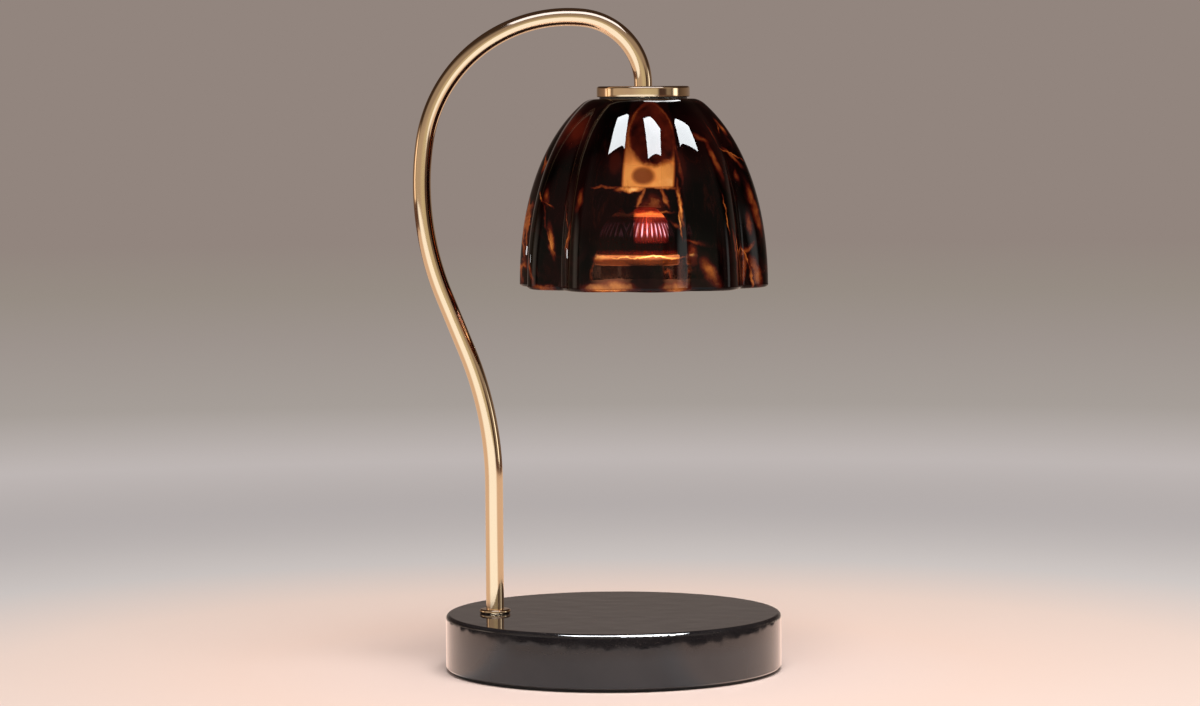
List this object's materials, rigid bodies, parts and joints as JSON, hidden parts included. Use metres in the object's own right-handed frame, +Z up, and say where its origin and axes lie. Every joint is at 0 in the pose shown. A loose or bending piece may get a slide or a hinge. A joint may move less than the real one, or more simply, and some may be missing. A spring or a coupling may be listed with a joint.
{
  "type": "candle warmer lamp",
  "caption": "Table lamp that warms a jar from above: a polished stone foot, a bent brass tube and a lobed mottled glass shade over a reflector bulb.",
  "frame": {"origin": "middle of the underside of the foot's pad", "axes": "+Z up, +X from the tube's foot towards the shade, +Y to the rear, where the lead goes in"},
  "size_m": [0.163, 0.1516, 0.295],
  "materials": {
    "stone": "polished",
    "pad": "matt foam",
    "gold": "polished",
    "steel": "zinc plated",
    "brass": "plain turned",
    "plastic": "moulded",
    "nylon": "moulded",
    "grommet": "moulded",
    "silicone": "moulded",
    "ceramic": "unglazed",
    "brown_lead": "extruded",
    "blue_lead": "extruded",
    "shade_glass": "glossy mottled",
    "bulb_glass": "glossy",
    "clear_glass": "glossy",
    "tungsten": "drawn wire"
  },
  "bodies": {
    "stand": {"base_disc": "stone", "base_pad": "pad", "pocket_cover": "plastic", "cover_plugs": "nylon", "cover_screws": "steel", "cord_grommet": "grommet", "arm_tube": "gold", "foot_collar": "gold", "foot_washer": "steel", "foot_lock_washer": "steel", "foot_nut": "steel", "head_cap": "gold", "holder_sleeve": "steel", "head_lock_washer": "steel", "head_nut": "steel", "upper_gasket": "silicone", "holder_bracket": "steel", "holder_screws": "steel", "lampholder": "ceramic", "lampholder_contacts": "brass", "terminal_block": "nylon", "terminal_clamps": "brass", "terminal_screws": "steel", "block_screw": "steel", "lead_live": "brown_lead", "lead_neutral": "blue_lead"},
    "shade": {"shade": "shade_glass", "lower_gasket": "silicone"},
    "ring": {"shade_ring": "brass"},
    "bulb": {"bulb_reflector": "bulb_glass", "bulb_lens": "clear_glass", "bulb_capsule": "clear_glass", "bulb_base": "ceramic", "bulb_pins": "steel", "bulb_filament": "tungsten"}
  },
  "joints": [
    {"name": "shade_lowering", "type": "slide", "parent": "stand", "child": "shade", "axis": [0, 0, -1], "range_m": [0, 0.008]},
    {"name": "ring_turning", "type": "hinge", "parent": "shade", "child": "ring", "pos_m": [0.01463, 0, 0.25039], "axis": [0, 0, -1], "range_deg": [0, 1440]},
    {"name": "bulb_twist", "type": "hinge", "parent": "stand", "child": "bulb", "pos_m": [0.01463, 0, 0.22779], "axis": [0, 0, -1], "range_deg": [0, 45]}
  ],
  "couplings": [
    {"joint": "ring_turning", "follows": "shade_lowering", "rad_per_m": 3141.6}
  ]
}
